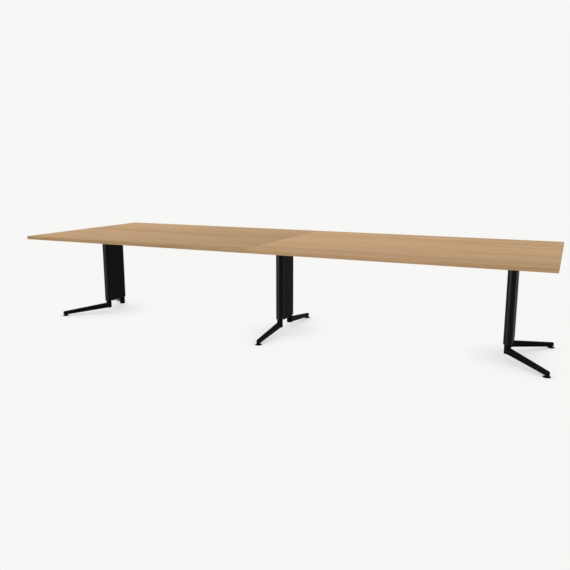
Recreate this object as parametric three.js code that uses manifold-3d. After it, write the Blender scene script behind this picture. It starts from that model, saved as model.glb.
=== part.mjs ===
// Conference table on three pedestals, in millimetres, +Z up.
// The origin is on the floor under the centre of the tops. +X runs along the table, +Y to its rear.
// Two veneered tops meet over the middle pedestal. Each pedestal is a pair of upright tubes with a
// clip-on cover on either side, so the column is a cable duct of flattened oval section. A cast foot
// is bolted under each tube: straight across on the middle pedestal, splayed outwards on the end ones.
import * as THREE from 'three';
import { mergeVertices } from 'three/addons/utils/BufferGeometryUtils.js';
import Module from 'manifold-3d';

const wasm = await Module();
wasm.setup();

// Tops
const TABLE_LENGTH = 4000;
const TABLE_WIDTH = 1400;
const TABLE_HEIGHT = 740;
const TOP_THICKNESS = 25;
const EDGE_BAND_THICKNESS = 2;
const SEAM_GAP = 0.4;

// Pedestals: tubes, plugs, covers and spreaders
const PEDESTAL_INSET = 290;
const TUBE_RADIUS = 30;
const TUBE_WALL = 2.5;
const TUBE_SPACING = 186;
const TUBE_BOTTOM = 112;
const PLUG_LENGTH = 30;
const COVER_THICKNESS = 2;
const COVER_OVERHANG = 5;
const COVER_TOP_GAP = 25;
const COVER_LEG_DEPTH = 8;
const COVER_LEG_THICKNESS = 2;
const SPREADER_HEIGHT = 40;
const SPREADER_WALL = 3;
const SPREADER_INSET = 22;

// Head channels and rails under the tops
const CHANNEL_LENGTH = 900;
const CHANNEL_WIDTH = 120;
const CHANNEL_HEIGHT = 35;
const CHANNEL_SHEET = 3;
const CHANNEL_BEND_RADIUS = 5;
const CHANNEL_END_HEIGHT = 15;
const CHANNEL_TAPER_LENGTH = 120;
const SCREW_SLOT_LENGTH = 16;
const SCREW_SLOT_WIDTH = 7;
const SCREW_ROW_INSET = 18;
const SCREWS_PER_ROW = 4;
const SCREW_PITCH = 210;
const RAIL_OFFSET = 290;
const RAIL_WIDTH = 40;
const RAIL_HEIGHT = 30;
const RAIL_WALL = 2;
const END_PLATE_WIDTH = 64;
const END_PLATE_HEIGHT = 33;
const END_PLATE_THICKNESS = 4;
const VENT_RADIUS = 7;

// Cast feet
const FOOT_SPLAY = Math.PI / 4;
const FOOT_REACH = 374;
const HUB_RADIUS = 22.5;
const HUB_HEIGHT = 65;
const HUB_CHAMFER = 3;
const ARM_ROOT_HALF_WIDTH = 15.9;
const ARM_ROOT_DROP = 20;
const ARM_TIP_HALF_WIDTH = 12.6;
const ARM_TIP_TOP = 39.8;
const ARM_TIP_BOTTOM = 10.5;
const ARM_TIP_OVERHANG = 7.2;
const ARM_EDGE_RADIUS = 6.5;
const EDGE_LIMIT = 0.9;
const ARM_WALL = 4.5;
const ARM_ROOF = 6;
const ARM_POCKETS = 3;
const ARM_RIB = 5;
const SEAT_RADIUS = 15;

// Foot bolts and levelling glides
const BOLT_RADIUS = 6;
const BOLT_HEAD_RADIUS = 9;
const BOLT_HEAD_HEIGHT = 12;
const BOLT_HEAD_DEPTH = 14;
const BOLT_KEY_RADIUS = 5.8;
const BOLT_KEY_DEPTH = 6;
const PAD_RADIUS = 25;
const PAD_RIM_HEIGHT = 3.6;
const PAD_EDGE = 0.8;
const PAD_NECK_RADIUS = 12;
const PAD_FLOOR = 2;
const PAD_LIP = 1;
const STEM_RADIUS = 5;
const STEM_NECK_RADIUS = 2.8;
const STEM_CHAMFER = 1;
const COLLAR_RADIUS = 7.5;
const COLLAR_HEIGHT = 4;

// Clearances: between parts that are fitted together, and round a part that turns or slides
const FIT_CLEARANCE = 0.3;
const HEAD_CLEARANCE = 1;
const OVERCUT = 2;
const MERGE_TOLERANCE = 1e-3;

// Facets
const TUBE_SIDES = 36;
const HUB_SIDES = 28;
const PAD_SIDES = 24;
const SMALL_SIDES = 12;
const HEX_SIDES = 6;
const ARC_STEPS = 3;
const NOSE_STEPS = 3;
const BALL_STEPS = 4;
const SLOT_STEPS = 2;

// Derived places
const UNDERSIDE = TABLE_HEIGHT - TOP_THICKNESS;
const TUBE_TOP = UNDERSIDE - CHANNEL_SHEET;
const TUBE_BORE = TUBE_RADIUS - TUBE_WALL;
const TUBE_AXIS = TUBE_SPACING / 2;
const COVER_TOP = UNDERSIDE - CHANNEL_HEIGHT - COVER_TOP_GAP;
const PEDESTAL_X = TABLE_LENGTH / 2 - PEDESTAL_INSET;
const COVER_BOTTOM = TUBE_BOTTOM - COVER_OVERHANG;
const HUB_TOP = TUBE_BOTTOM - FIT_CLEARANCE;
const HUB_BOTTOM = HUB_TOP - HUB_HEIGHT;
const ARM_ROOT_TOP = HUB_TOP - ARM_ROOT_DROP;
const BOLT_SEAT = HUB_BOTTOM + BOLT_HEAD_DEPTH;
const NOSE_CENTRE = FOOT_REACH + ARM_TIP_OVERHANG;
const PAD_TOP = ARM_TIP_BOTTOM - FIT_CLEARANCE;
const COLLAR_BOTTOM = ARM_TIP_BOTTOM + FIT_CLEARANCE;
const COLLAR_TOP = COLLAR_BOTTOM + COLLAR_HEIGHT;
const STEM_TOP = mix(ARM_ROOT_TOP, ARM_TIP_TOP, FOOT_REACH / NOSE_CENTRE) - ARM_ROOF;

// The stem's ball stands on the floor of the pad's socket, and its neck leaves under the socket's lip.
const SOCKET_TOP = PAD_TOP - PAD_LIP;
const BALL_BOTTOM = PAD_FLOOR + FIT_CLEARANCE;
const BALL_HEIGHT = SOCKET_TOP - FIT_CLEARANCE - BALL_BOTTOM;
const BALL_RADIUS = (BALL_HEIGHT ** 2 + STEM_NECK_RADIUS ** 2) / (2 * BALL_HEIGHT);
const BALL_CENTRE = BALL_BOTTOM + BALL_RADIUS;

// Finishes
const OAK = { color: 0xb89872, roughness: 0.55, metalness: 0 };
const OAK_EDGE = { color: 0xae8d66, roughness: 0.6, metalness: 0 };
const BLACK_COAT = { color: 0x1b1b1c, roughness: 0.45, metalness: 0.2 };
const ZINC_STEEL = { color: 0x9a9c9e, roughness: 0.35, metalness: 1 };
const BLACK_PLASTIC = { color: 0x141414, roughness: 0.6, metalness: 0 };

// Boolean joins and cuts of closed geometries
function toSolid(geometry) {
  const loose = geometry.index ? geometry.toNonIndexed() : geometry;
  const bare = new THREE.BufferGeometry();
  bare.setAttribute('position', loose.getAttribute('position'));
  const merged = mergeVertices(bare, MERGE_TOLERANCE);
  return new wasm.Manifold(
    new wasm.Mesh({
      numProp: 3,
      vertProperties: merged.getAttribute('position').array,
      triVerts: new Uint32Array(merged.index.array),
    }),
  );
}

function toGeometry(solid) {
  const mesh = solid.getMesh();
  const geometry = new THREE.BufferGeometry();
  geometry.setAttribute('position', new THREE.BufferAttribute(mesh.vertProperties, 3));
  geometry.setIndex(new THREE.BufferAttribute(mesh.triVerts, 1));
  return geometry;
}

function join(first, ...others) {
  return toGeometry(others.reduce((solid, other) => solid.add(toSolid(other)), toSolid(first)));
}

function cut(body, ...tools) {
  return toGeometry(tools.reduce((solid, tool) => solid.subtract(toSolid(tool)), toSolid(body)));
}

// Shapes that several parts use
function block(low, high) {
  const size = high.clone().sub(low);
  const centre = high.clone().add(low).multiplyScalar(0.5);
  return new THREE.BoxGeometry(size.x, size.y, size.z).translate(centre.x, centre.y, centre.z);
}

// A block that is centred on the Z axis.
function centredBlock(length, width, bottom, top) {
  const low = new THREE.Vector3(-length / 2, -width / 2, bottom);
  const high = new THREE.Vector3(length / 2, width / 2, top);
  return block(low, high);
}

function cylinder(radius, bottom, top, sides) {
  return new THREE.CylinderGeometry(radius, radius, top - bottom, sides)
    .rotateX(Math.PI / 2)
    .translate(0, 0, (bottom + top) / 2);
}

// A body of revolution about Z from [radius, height] pairs, listed from the bottom upwards.
function turned(profile, sides) {
  const points = profile.map(([radius, height]) => new THREE.Vector2(radius, height));
  return new THREE.LatheGeometry(points, sides).rotateX(Math.PI / 2);
}

// An outline in the XZ plane drawn out along Y and centred on it.
function drawnAlongY(shape, length) {
  const options = { depth: length, bevelEnabled: false, curveSegments: ARC_STEPS };
  return new THREE.ExtrudeGeometry(shape, options).rotateX(Math.PI / 2).translate(0, length / 2, 0);
}

// A skin over rings that have the same number of points, closed by a face at each end.
function lofted(rings) {
  const count = rings[0].length;
  const positions = rings.flat().flatMap((point) => [point.x, point.y, point.z]);
  const faces = [];
  for (let ring = 0; ring + 1 < rings.length; ring += 1) {
    for (let side = 0; side < count; side += 1) {
      const here = ring * count + side;
      const beside = ring * count + ((side + 1) % count);
      faces.push(here, beside, beside + count, here, beside + count, here + count);
    }
  }
  const last = (rings.length - 1) * count;
  for (let side = 1; side + 1 < count; side += 1) {
    faces.push(0, side + 1, side);
    faces.push(last, last + side, last + side + 1);
  }
  const geometry = new THREE.BufferGeometry();
  geometry.setAttribute('position', new THREE.Float32BufferAttribute(positions, 3));
  geometry.setIndex(faces);
  return geometry;
}

function mix(from, to, share) {
  return from + (to - from) * share;
}

// Tops and their edge bands, for the half of the table on the side of the sign given
function halfTopLimits(side) {
  const inner = (side * SEAM_GAP) / 2;
  const outer = (side * TABLE_LENGTH) / 2;
  const low = new THREE.Vector3(Math.min(inner, outer), -TABLE_WIDTH / 2, UNDERSIDE);
  const high = new THREE.Vector3(Math.max(inner, outer), TABLE_WIDTH / 2, TABLE_HEIGHT);
  return { low, high };
}

function topBoard(side, margin = 0) {
  const { low, high } = halfTopLimits(side);
  const inset = new THREE.Vector3(EDGE_BAND_THICKNESS, EDGE_BAND_THICKNESS, -margin);
  return block(low.add(inset), high.sub(inset));
}

function edgeBand(side) {
  const { low, high } = halfTopLimits(side);
  return cut(block(low, high), topBoard(side, OVERCUT));
}

// Column parts, about the pedestal's own axis
function tube() {
  const bore = cylinder(TUBE_BORE, TUBE_BOTTOM - OVERCUT, TUBE_TOP + OVERCUT, TUBE_SIDES);
  return cut(cylinder(TUBE_RADIUS, TUBE_BOTTOM, TUBE_TOP, TUBE_SIDES), bore);
}

function tubePlug() {
  const plugTop = TUBE_BOTTOM + PLUG_LENGTH;
  const body = cylinder(TUBE_BORE - FIT_CLEARANCE, TUBE_BOTTOM, plugTop, HUB_SIDES);
  const hole = cylinder(BOLT_RADIUS + FIT_CLEARANCE, TUBE_BOTTOM - OVERCUT, plugTop + OVERCUT, SMALL_SIDES);
  return cut(body, hole);
}

// How far from the pedestal's axis the side of a tube lies, at a distance x from the long centre line.
function tubeSide(x) {
  return TUBE_AXIS - Math.sqrt(TUBE_RADIUS ** 2 - x ** 2);
}

const COVER_INNER_FACE = TUBE_RADIUS - COVER_THICKNESS;
const COVER_HALF_WIDTH = tubeSide(COVER_INNER_FACE) - FIT_CLEARANCE;
const LEG_END = COVER_INNER_FACE - COVER_LEG_DEPTH;
const LEG_OUTER = tubeSide(LEG_END) - FIT_CLEARANCE;
const LEG_INNER = LEG_OUTER - COVER_LEG_THICKNESS;

// A drawn cover: a flat face that lies flush with the tubes, and two legs that clip over the spreaders.
function cover(side) {
  const outline = new THREE.Shape();
  outline.moveTo(TUBE_RADIUS, -COVER_HALF_WIDTH);
  outline.lineTo(TUBE_RADIUS, COVER_HALF_WIDTH);
  outline.lineTo(COVER_INNER_FACE, COVER_HALF_WIDTH);
  outline.lineTo(COVER_INNER_FACE, LEG_OUTER);
  outline.lineTo(LEG_END, LEG_OUTER);
  outline.lineTo(LEG_END, LEG_INNER);
  outline.lineTo(COVER_INNER_FACE, LEG_INNER);
  outline.lineTo(COVER_INNER_FACE, -LEG_INNER);
  outline.lineTo(LEG_END, -LEG_INNER);
  outline.lineTo(LEG_END, -LEG_OUTER);
  outline.lineTo(COVER_INNER_FACE, -LEG_OUTER);
  outline.lineTo(COVER_INNER_FACE, -COVER_HALF_WIDTH);
  const options = { depth: COVER_TOP - COVER_BOTTOM, bevelEnabled: false };
  const drawn = new THREE.ExtrudeGeometry(outline, options).translate(0, 0, COVER_BOTTOM);
  return side > 0 ? drawn : drawn.rotateZ(Math.PI);
}

// An open collar between the tubes. Its ends are hollowed to the tubes, and cables pass down its middle.
function spreader(bottom) {
  const top = bottom + SPREADER_HEIGHT;
  const halfThickness = COVER_INNER_FACE - FIT_CLEARANCE;
  const halfLength = LEG_INNER - FIT_CLEARANCE;
  const openHalfLength = TUBE_AXIS - TUBE_RADIUS - FIT_CLEARANCE - SPREADER_WALL;
  const body = centredBlock(2 * halfThickness, 2 * halfLength, bottom, top);
  const openWidth = 2 * (halfThickness - SPREADER_WALL);
  const opening = centredBlock(openWidth, 2 * openHalfLength, bottom - OVERCUT, top + OVERCUT);
  const seatRadius = TUBE_RADIUS + FIT_CLEARANCE;
  const seats = [-TUBE_AXIS, TUBE_AXIS].map((axis) =>
    cylinder(seatRadius, bottom - OVERCUT, top + OVERCUT, TUBE_SIDES).translate(0, axis, 0),
  );
  return cut(body, opening, ...seats);
}

// Head channel: folded sheet, open downwards, with slimmer ends and slots for the screws into the tops
function channelOutline() {
  const half = CHANNEL_WIDTH / 2;
  const inside = half - CHANNEL_SHEET;
  const outerBend = CHANNEL_BEND_RADIUS;
  const innerBend = CHANNEL_BEND_RADIUS - CHANNEL_SHEET;
  const bendCentre = half - outerBend;
  const outline = new THREE.Shape();
  outline.moveTo(inside, -CHANNEL_HEIGHT);
  outline.lineTo(half, -CHANNEL_HEIGHT);
  outline.absarc(bendCentre, -outerBend, outerBend, 0, Math.PI / 2);
  outline.absarc(-bendCentre, -outerBend, outerBend, Math.PI / 2, Math.PI);
  outline.lineTo(-half, -CHANNEL_HEIGHT);
  outline.lineTo(-inside, -CHANNEL_HEIGHT);
  outline.absarc(-bendCentre, -outerBend, innerBend, Math.PI, Math.PI / 2, true);
  outline.absarc(bendCentre, -outerBend, innerBend, Math.PI / 2, 0, true);
  return outline;
}

// The wedge that slims one end of the channel, on the side of the sign given.
function channelTaper(end) {
  const tip = CHANNEL_LENGTH / 2 + OVERCUT;
  const start = CHANNEL_LENGTH / 2 - CHANNEL_TAPER_LENGTH;
  const slope = (CHANNEL_HEIGHT - CHANNEL_END_HEIGHT) / CHANNEL_TAPER_LENGTH;
  const outline = new THREE.Shape();
  outline.moveTo(start - OVERCUT, -CHANNEL_HEIGHT - OVERCUT * slope);
  outline.lineTo(tip, -CHANNEL_HEIGHT - OVERCUT * slope);
  outline.lineTo(tip, slope * (tip - start) - CHANNEL_HEIGHT);
  const wedge = drawnAlongY(outline, CHANNEL_WIDTH + OVERCUT);
  return wedge.rotateZ((end * Math.PI) / 2);
}

function screwSlot(x, y) {
  const radius = SCREW_SLOT_WIDTH / 2;
  const straight = (SCREW_SLOT_LENGTH - SCREW_SLOT_WIDTH) / 2;
  const outline = new THREE.Shape();
  outline.absarc(0, straight, radius, 0, Math.PI);
  outline.absarc(0, -straight, radius, Math.PI, 2 * Math.PI);
  const options = { depth: CHANNEL_SHEET + 2 * OVERCUT, bevelEnabled: false, curveSegments: SLOT_STEPS };
  return new THREE.ExtrudeGeometry(outline, options).translate(x, y, -CHANNEL_SHEET - OVERCUT);
}

function headChannel() {
  const slots = [];
  const rowOffset = CHANNEL_WIDTH / 2 - SCREW_ROW_INSET;
  for (const x of [-rowOffset, rowOffset]) {
    for (let index = 0; index < SCREWS_PER_ROW; index += 1) {
      slots.push(screwSlot(x, (index - (SCREWS_PER_ROW - 1) / 2) * SCREW_PITCH));
    }
  }
  const folded = drawnAlongY(channelOutline(), CHANNEL_LENGTH);
  return cut(folded, channelTaper(1), channelTaper(-1), ...slots).translate(0, 0, UNDERSIDE);
}

// Rail between two head channels: a square tube with a vented plate at each end
function rail(from, to) {
  const halfWidth = RAIL_WIDTH / 2;
  const halfPlate = END_PLATE_WIDTH / 2;
  const bottom = UNDERSIDE - RAIL_HEIGHT;
  const body = block(
    new THREE.Vector3(from, -halfWidth, bottom),
    new THREE.Vector3(to, halfWidth, UNDERSIDE),
  );
  const hollow = block(
    new THREE.Vector3(from + END_PLATE_THICKNESS, RAIL_WALL - halfWidth, bottom + RAIL_WALL),
    new THREE.Vector3(to - END_PLATE_THICKNESS, halfWidth - RAIL_WALL, UNDERSIDE - RAIL_WALL),
  );
  const plates = [from, to - END_PLATE_THICKNESS].map((start) =>
    block(
      new THREE.Vector3(start, -halfPlate, UNDERSIDE - END_PLATE_HEIGHT),
      new THREE.Vector3(start + END_PLATE_THICKNESS, halfPlate, UNDERSIDE),
    ),
  );
  const vent = cylinder(VENT_RADIUS, from - OVERCUT, to + OVERCUT, SMALL_SIDES)
    .rotateY(Math.PI / 2)
    .translate(0, 0, UNDERSIDE - RAIL_HEIGHT / 2);
  return cut(join(body, ...plates), hollow, vent);
}

// Cast foot, about the axis of its hub, with the arm along +X
function armSection(at) {
  const share = at / NOSE_CENTRE;
  const seatStart = FOOT_REACH - SEAT_RADIUS;
  return {
    halfWidth: mix(ARM_ROOT_HALF_WIDTH, ARM_TIP_HALF_WIDTH, share),
    top: mix(ARM_ROOT_TOP, ARM_TIP_TOP, share),
    bottom: mix(HUB_BOTTOM, ARM_TIP_BOTTOM, Math.min(1, at / seatStart)),
  };
}

// A ring with rounded corners, square to the arm.
function roundedRing(at, halfWidth, bottom, top) {
  const radius = Math.min(ARM_EDGE_RADIUS, EDGE_LIMIT * halfWidth, (EDGE_LIMIT * (top - bottom)) / 2);
  const corners = [
    [halfWidth - radius, bottom + radius],
    [halfWidth - radius, top - radius],
    [radius - halfWidth, top - radius],
    [radius - halfWidth, bottom + radius],
  ];
  return corners.flatMap(([y, z], corner) => {
    const ring = [];
    for (let step = 0; step <= ARC_STEPS; step += 1) {
      const angle = (Math.PI / 2) * (corner - 1 + step / ARC_STEPS);
      ring.push(new THREE.Vector3(at, y + radius * Math.cos(angle), z + radius * Math.sin(angle)));
    }
    return ring;
  });
}

function arm() {
  const straight = [0, FOOT_REACH - SEAT_RADIUS, NOSE_CENTRE].map((at) => {
    const { halfWidth, bottom, top } = armSection(at);
    return roundedRing(at, halfWidth, bottom, top);
  });
  const nose = [];
  for (let step = 1; step <= NOSE_STEPS; step += 1) {
    const angle = (step / (NOSE_STEPS + 0.5)) * (Math.PI / 2);
    const drawnIn = ARM_EDGE_RADIUS * (1 - Math.cos(angle));
    const at = NOSE_CENTRE + ARM_TIP_HALF_WIDTH * Math.sin(angle);
    const halfWidth = ARM_TIP_HALF_WIDTH * Math.cos(angle);
    nose.push(roundedRing(at, halfWidth, ARM_TIP_BOTTOM + drawnIn, ARM_TIP_TOP - drawnIn));
  }
  return lofted([...straight, ...nose]);
}

// One cored pocket in the underside of the arm, between two of its ribs.
function armPocket(from, to) {
  const rings = [from, to].map((at) => {
    const { halfWidth, bottom, top } = armSection(at);
    const inside = halfWidth - ARM_WALL;
    const floor = bottom - OVERCUT;
    const roof = top - ARM_ROOF;
    return [
      new THREE.Vector3(at, inside, floor),
      new THREE.Vector3(at, inside, roof),
      new THREE.Vector3(at, -inside, roof),
      new THREE.Vector3(at, -inside, floor),
    ];
  });
  return lofted(rings);
}

function armPockets() {
  const start = HUB_RADIUS + ARM_WALL;
  const end = FOOT_REACH - SEAT_RADIUS - ARM_WALL;
  const length = (end - start - (ARM_POCKETS - 1) * ARM_RIB) / ARM_POCKETS;
  return Array.from({ length: ARM_POCKETS }, (_, index) => {
    const from = start + index * (length + ARM_RIB);
    return armPocket(from, from + length);
  });
}

function foot() {
  const hub = turned(
    [
      [0, HUB_BOTTOM],
      [HUB_RADIUS - HUB_CHAMFER, HUB_BOTTOM],
      [HUB_RADIUS, HUB_BOTTOM + HUB_CHAMFER],
      [HUB_RADIUS, HUB_TOP],
      [0, HUB_TOP],
    ],
    HUB_SIDES,
  );
  const boltHole = cylinder(BOLT_RADIUS + FIT_CLEARANCE, HUB_BOTTOM, HUB_TOP + OVERCUT, SMALL_SIDES);
  const headHole = cylinder(
    BOLT_HEAD_RADIUS + HEAD_CLEARANCE,
    HUB_BOTTOM - OVERCUT,
    BOLT_SEAT,
    SMALL_SIDES,
  );
  const stemHole = cylinder(
    STEM_RADIUS + FIT_CLEARANCE,
    ARM_TIP_BOTTOM,
    STEM_TOP + FIT_CLEARANCE,
    SMALL_SIDES,
  );
  const collarHole = cylinder(
    COLLAR_RADIUS + HEAD_CLEARANCE,
    ARM_TIP_BOTTOM - OVERCUT,
    COLLAR_TOP + FIT_CLEARANCE,
    SMALL_SIDES,
  );
  const glideHoles = [stemHole, collarHole].map((hole) => hole.translate(FOOT_REACH, 0, 0));
  return cut(join(hub, arm()), boltHole, headHole, ...glideHoles, ...armPockets());
}

function footBolt() {
  const headTop = BOLT_SEAT - FIT_CLEARANCE;
  const headBottom = headTop - BOLT_HEAD_HEIGHT;
  const head = cylinder(BOLT_HEAD_RADIUS, headBottom, headTop, SMALL_SIDES);
  const shank = cylinder(BOLT_RADIUS, headBottom, TUBE_BOTTOM + PLUG_LENGTH, SMALL_SIDES);
  const key = cylinder(BOLT_KEY_RADIUS, headBottom - OVERCUT, headBottom + BOLT_KEY_DEPTH, HEX_SIDES);
  return cut(join(head, shank), key);
}

// Levelling glide, about its own axis: a stem that turns in a round pad on a ball
function glideStem() {
  const neckAngle = Math.acos(STEM_NECK_RADIUS / BALL_RADIUS);
  const ball = Array.from({ length: BALL_STEPS }, (_, step) => {
    const angle = mix(-Math.PI / 2, neckAngle, (step + 1) / BALL_STEPS);
    return [BALL_RADIUS * Math.cos(angle), BALL_CENTRE + BALL_RADIUS * Math.sin(angle)];
  });
  const stem = turned(
    [
      [0, BALL_BOTTOM],
      ...ball,
      [STEM_NECK_RADIUS, COLLAR_BOTTOM],
      [STEM_RADIUS, COLLAR_BOTTOM],
      [STEM_RADIUS, STEM_TOP - STEM_CHAMFER],
      [STEM_RADIUS - STEM_CHAMFER, STEM_TOP],
      [0, STEM_TOP],
    ],
    SMALL_SIDES,
  );
  return join(stem, cylinder(COLLAR_RADIUS, COLLAR_BOTTOM, COLLAR_TOP, HEX_SIDES));
}

function glidePad() {
  const socket = BALL_RADIUS + FIT_CLEARANCE;
  const mouth = STEM_NECK_RADIUS + FIT_CLEARANCE;
  const rim = PAD_RADIUS - PAD_EDGE;
  const bell = Array.from({ length: ARC_STEPS + 1 }, (_, step) => {
    const angle = ((Math.PI / 2) * step) / ARC_STEPS;
    const radius = mix(rim, PAD_NECK_RADIUS, Math.sin(angle));
    return [radius, mix(PAD_TOP, PAD_RIM_HEIGHT, Math.cos(angle))];
  });
  return turned(
    [
      [0, 0],
      [PAD_RADIUS, 0],
      [PAD_RADIUS, PAD_RIM_HEIGHT - PAD_EDGE],
      ...bell,
      [mouth, PAD_TOP],
      [mouth, SOCKET_TOP],
      [socket, BALL_CENTRE],
      [socket, PAD_FLOOR],
      [0, PAD_FLOOR],
    ],
    PAD_SIDES,
  );
}

// Assembly
function piece(name, geometry, finish) {
  const mesh = new THREE.Mesh(geometry, new THREE.MeshStandardMaterial(finish));
  mesh.name = name;
  return mesh;
}

// One leg of a pedestal: the tube with its plug, and the foot with its bolt and glide.
// The foot is turned about the tube's axis so that its arm points along the heading.
function leg(name, heading) {
  const glide = new THREE.Group();
  glide.position.x = FOOT_REACH;
  glide.add(
    piece(`${name}_glide_stem`, glideStem(), ZINC_STEEL),
    piece(`${name}_glide_pad`, glidePad(), BLACK_PLASTIC),
  );
  const footing = new THREE.Group();
  footing.rotation.z = heading;
  footing.add(
    piece(`${name}_foot`, foot(), BLACK_COAT),
    piece(`${name}_foot_bolt`, footBolt(), ZINC_STEEL),
    glide,
  );
  const group = new THREE.Group();
  group.add(
    piece(`${name}_tube`, tube(), BLACK_COAT),
    piece(`${name}_tube_plug`, tubePlug(), ZINC_STEEL),
    footing,
  );
  return group;
}

// A pedestal whose feet lean towards the end of the table on the side of the sign given, or straight at 0.
function pedestal(name, side) {
  const group = new THREE.Group();
  for (const [place, facing] of [['front', -1], ['rear', 1]]) {
    const made = leg(`${name}_${place}`, facing * (Math.PI / 2 - side * FOOT_SPLAY));
    made.position.y = facing * TUBE_AXIS;
    group.add(made);
  }
  const lowerSpreader = COVER_BOTTOM + SPREADER_INSET;
  const upperSpreader = COVER_TOP - SPREADER_INSET - SPREADER_HEIGHT;
  group.add(
    piece(`${name}_cover_left`, cover(-1), BLACK_COAT),
    piece(`${name}_cover_right`, cover(1), BLACK_COAT),
    piece(`${name}_lower_spreader`, spreader(lowerSpreader), BLACK_COAT),
    piece(`${name}_upper_spreader`, spreader(upperSpreader), BLACK_COAT),
    piece(`${name}_head_channel`, headChannel(), BLACK_COAT),
  );
  group.position.x = side * PEDESTAL_X;
  return group;
}

const table = new THREE.Group();
for (const [name, side] of [['left', -1], ['right', 1]]) {
  table.add(
    piece(`top_${name}_board`, topBoard(side), OAK),
    piece(`top_${name}_edge_band`, edgeBand(side), OAK_EDGE),
  );
  const near = CHANNEL_WIDTH / 2;
  const far = PEDESTAL_X - CHANNEL_WIDTH / 2;
  const [from, to] = side > 0 ? [near, far] : [-far, -near];
  for (const [place, facing] of [['front', -1], ['rear', 1]]) {
    const made = piece(`rail_${name}_${place}`, rail(from, to), BLACK_COAT);
    made.position.y = facing * RAIL_OFFSET;
    table.add(made);
  }
}
for (const [name, side] of [['left', -1], ['middle', 0], ['right', 1]]) table.add(pedestal(name, side));

export default table;
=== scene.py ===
# %% [markdown]
# # A conference table on three pedestals
# The solids of the table are already built to size, and this lesson gives them their looks: eased
# edges, cast and folded forms, threads and screws, and the finish of every surface. Every length is
# in metres, the table stands on the floor at the origin, and its long side runs along X.

# %% Load the solids
import math

import bmesh
import bpy
from mathutils import Matrix, Vector


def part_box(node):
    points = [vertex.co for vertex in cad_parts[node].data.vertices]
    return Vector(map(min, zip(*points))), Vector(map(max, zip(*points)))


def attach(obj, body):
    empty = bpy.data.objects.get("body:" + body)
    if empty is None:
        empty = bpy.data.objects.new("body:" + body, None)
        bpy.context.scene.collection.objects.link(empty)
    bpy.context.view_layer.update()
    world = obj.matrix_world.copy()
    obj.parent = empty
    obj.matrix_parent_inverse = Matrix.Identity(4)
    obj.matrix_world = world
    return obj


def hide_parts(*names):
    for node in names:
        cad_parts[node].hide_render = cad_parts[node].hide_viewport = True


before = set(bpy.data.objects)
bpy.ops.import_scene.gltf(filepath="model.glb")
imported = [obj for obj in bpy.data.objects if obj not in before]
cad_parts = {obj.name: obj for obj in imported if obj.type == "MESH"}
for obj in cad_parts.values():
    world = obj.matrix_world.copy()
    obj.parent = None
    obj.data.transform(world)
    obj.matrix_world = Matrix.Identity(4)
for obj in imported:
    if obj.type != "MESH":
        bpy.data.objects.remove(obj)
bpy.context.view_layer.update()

# %% [markdown]
# ## The camera
# The picture is taken from a little above the top, in front of its right-hand half. The upright lines
# draw together downwards, so the camera is tilted down and its lens isn't shifted.

# %% Set up the camera
CAMERA_PLACE = (2.0459, -4.4443, 1.2989)
CAMERA_DIP = math.radians(10.746)
CAMERA_TURN = math.radians(24.705)
CAMERA_LENS_MM = 39.42


def placed(data, name):
    item = bpy.data.objects.new(name, data)
    bpy.context.scene.collection.objects.link(item)
    return item


view = bpy.data.cameras.new("view")
view.lens = CAMERA_LENS_MM
camera = placed(view, "view")
camera.location = CAMERA_PLACE
camera.rotation_euler = (math.pi / 2 - CAMERA_DIP, 0, CAMERA_TURN)
bpy.context.scene.camera = camera
bpy.context.scene.view_settings.view_transform = "Standard"
print(f"camera at {CAMERA_PLACE} with a {CAMERA_LENS_MM} mm lens")

# %% [markdown]
# ## Building with nodes
# Materials, the world and the trees of Geometry Nodes are all graphs. One helper adds a node to any of
# them: each input is either a constant or another node's output, which is then linked. Two more add the
# sums that come up most often.


# %% Helpers for node graphs
def add(tree, kind, inputs=None, **settings):
    made = tree.nodes.new(kind)
    for name, value in settings.items():
        setattr(made, name, value)
    for key, value in (inputs or {}).items():
        if isinstance(value, bpy.types.NodeSocket):
            tree.links.new(value, made.inputs[key])
        else:
            made.inputs[key].default_value = value
    return made


def calculate(tree, operation, *values):
    return add(tree, "ShaderNodeMath", dict(enumerate(values)), operation=operation).outputs[0]


def between(tree, value, limits, results=(0.0, 1.0)):
    inputs = {"Value": value, "From Min": limits[0], "From Max": limits[1]}
    inputs |= {"To Min": results[0], "To Max": results[1]}
    return add(tree, "ShaderNodeMapRange", inputs).outputs[0]


def bare_tree(owner):
    owner.use_nodes = True
    owner.node_tree.nodes.clear()
    return owner.node_tree


print("node helpers ready")

# %% [markdown]
# ## Glow and lamps
# The table stands in plain soft light: an even glow all round and a wide lamp overhead. A low soft box in
# front on the left is seen by reflections only, and draws the bright line down each column. A white room
# could be lit until it shows white, but that would bleach the oak. So the Light Path node tells the rays
# of the eye and of mirrors from the rest, and gives them the colour of the paper behind the table.

# %% Set the glow
PAPER = (0.930, 0.930, 0.914, 1)
SKY = (0.30, 0.30, 0.30, 1)


def is_seen(tree):
    path = add(tree, "ShaderNodeLightPath").outputs
    seen = calculate(tree, "MAXIMUM", path["Is Camera Ray"], path["Is Glossy Ray"])
    return calculate(tree, "MAXIMUM", seen, path["Is Transmission Ray"])


world = bpy.data.worlds.new("studio")
bpy.context.scene.world = world
tree = bare_tree(world)
glow = add(tree, "ShaderNodeBackground", {"Color": SKY})
paper = add(tree, "ShaderNodeBackground", {"Color": PAPER})
both = add(tree, "ShaderNodeMixShader", {0: is_seen(tree), 1: glow.outputs[0], 2: paper.outputs[0]})
add(tree, "ShaderNodeOutputWorld", {"Surface": both.outputs[0]})
print(f"a glow of {SKY[0]} all round, seen as {PAPER[:3]}")

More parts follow.
